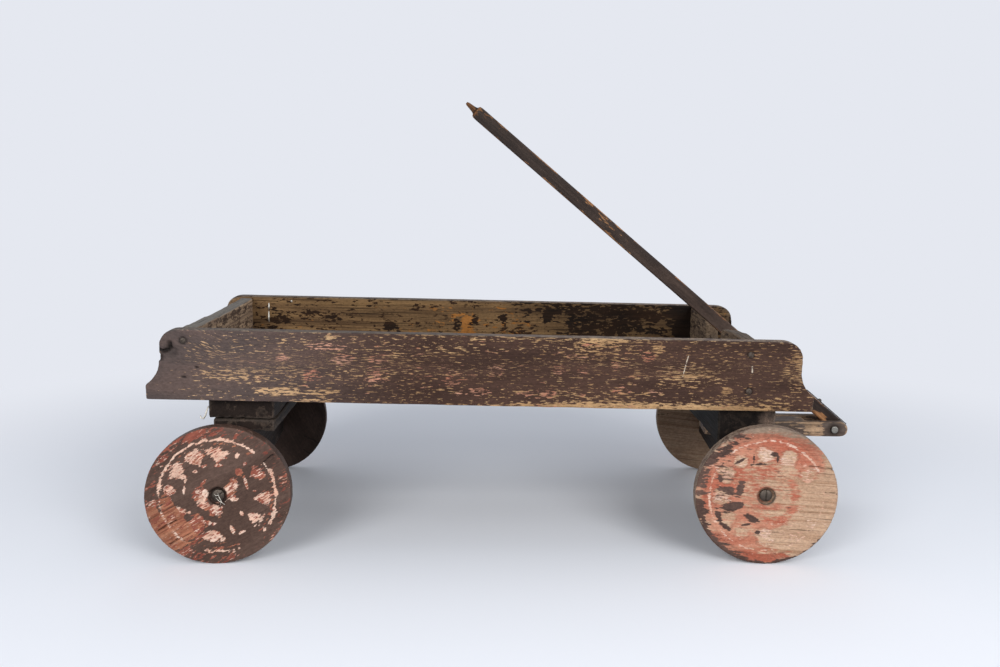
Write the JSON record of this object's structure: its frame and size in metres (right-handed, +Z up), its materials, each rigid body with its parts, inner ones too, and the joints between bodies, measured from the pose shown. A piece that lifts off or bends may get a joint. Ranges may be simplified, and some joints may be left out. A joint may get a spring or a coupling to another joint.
{
  "type": "wooden coaster wagon",
  "caption": "Child's wooden coaster wagon with solid disc wheels, a turntable front axle and a folding tongue, old and weathered.",
  "frame": {"origin": "on the floor under the middle of the whole wagon's bounding box", "axes": "+X to the front of the wagon, +Y to its left side, +Z up"},
  "size_m": [1.0404, 0.476, 0.6352],
  "materials": {
    "side_paint": "old dark brown paint flaked to ochre wood",
    "box_wood": "bare weathered boards with dark patches",
    "under_wood": "dirty bare wood",
    "hound_wood": "grey-brown worn wood",
    "tongue_wood": "dark oiled wood worn to orange brown",
    "rear_wheel_paint": "grey-brown paint with a worn ring and patches",
    "front_wheel_paint": "remains of red paint on bare tan wood",
    "dark_iron": "dark rusted iron",
    "rusty_iron": "rusty iron",
    "worn_steel": "worn dull steel"
  },
  "bodies": {
    "box": {"right_side_board": "side_paint", "left_side_board": "side_paint", "front_end_board": "box_wood", "rear_end_board": "box_wood", "floor_board_1": "box_wood", "floor_board_2": "box_wood", "floor_board_3": "box_wood", "floor_board_4": "box_wood", "floor_board_5": "box_wood", "rear_bolster": "under_wood", "rear_spacer_board": "under_wood", "rear_axle_beam": "under_wood", "rear_axle_screw_right": "dark_iron", "rear_axle_screw_left": "dark_iron", "rear_washer_right": "rusty_iron", "rear_washer_left": "rusty_iron", "front_bolster": "under_wood", "upper_wear_plate": "rusty_iron", "king_bolt": "dark_iron", "king_nut": "dark_iron"},
    "front_gear": {"lower_wear_plate": "rusty_iron", "front_axle_beam": "under_wood", "hound_right": "hound_wood", "hound_left": "hound_wood", "hound_filler_block": "hound_wood", "front_axle_screw_right": "dark_iron", "front_axle_screw_left": "dark_iron", "front_washer_right": "rusty_iron", "front_washer_left": "rusty_iron", "tongue_bolt": "worn_steel"},
    "tongue": {"tongue_bar": "tongue_wood", "tongue_strap": "dark_iron"},
    "front_right_wheel": {"wheel_front_right": "front_wheel_paint"},
    "front_left_wheel": {"wheel_front_left": "front_wheel_paint"},
    "rear_right_wheel": {"wheel_rear_right": "rear_wheel_paint"},
    "rear_left_wheel": {"wheel_rear_left": "rear_wheel_paint"}
  },
  "joints": [
    {"name": "steer", "type": "hinge", "parent": "box", "child": "front_gear", "pos_m": [0.34792, 0, 0.15415], "axis": [0, 0, 1], "range_deg": [-29, 35]},
    {"name": "tongue_fold", "type": "hinge", "parent": "front_gear", "child": "tongue", "pos_m": [0.49422, -0.00767, 0.1405], "axis": [0.0523, 0.9986, 0], "range_deg": [0, 147]},
    {"name": "front_right_wheel_turn", "type": "hinge", "parent": "front_gear", "child": "front_right_wheel", "pos_m": [0.33624, -0.22284, 0.0966], "axis": [0.0523, 0.9986, 0], "continuous": true},
    {"name": "front_left_wheel_turn", "type": "hinge", "parent": "front_gear", "child": "front_left_wheel", "pos_m": [0.3596, 0.22284, 0.0966], "axis": [0.0523, 0.9986, 0], "continuous": true},
    {"name": "rear_right_wheel_turn", "type": "hinge", "parent": "box", "child": "rear_right_wheel", "pos_m": [-0.4079, -0.223, 0.0956], "axis": [-0.0366, 0.9993, 0], "continuous": true},
    {"name": "rear_left_wheel_turn", "type": "hinge", "parent": "box", "child": "rear_left_wheel", "pos_m": [-0.42426, 0.223, 0.0956], "axis": [-0.0366, 0.9993, 0], "continuous": true}
  ]
}
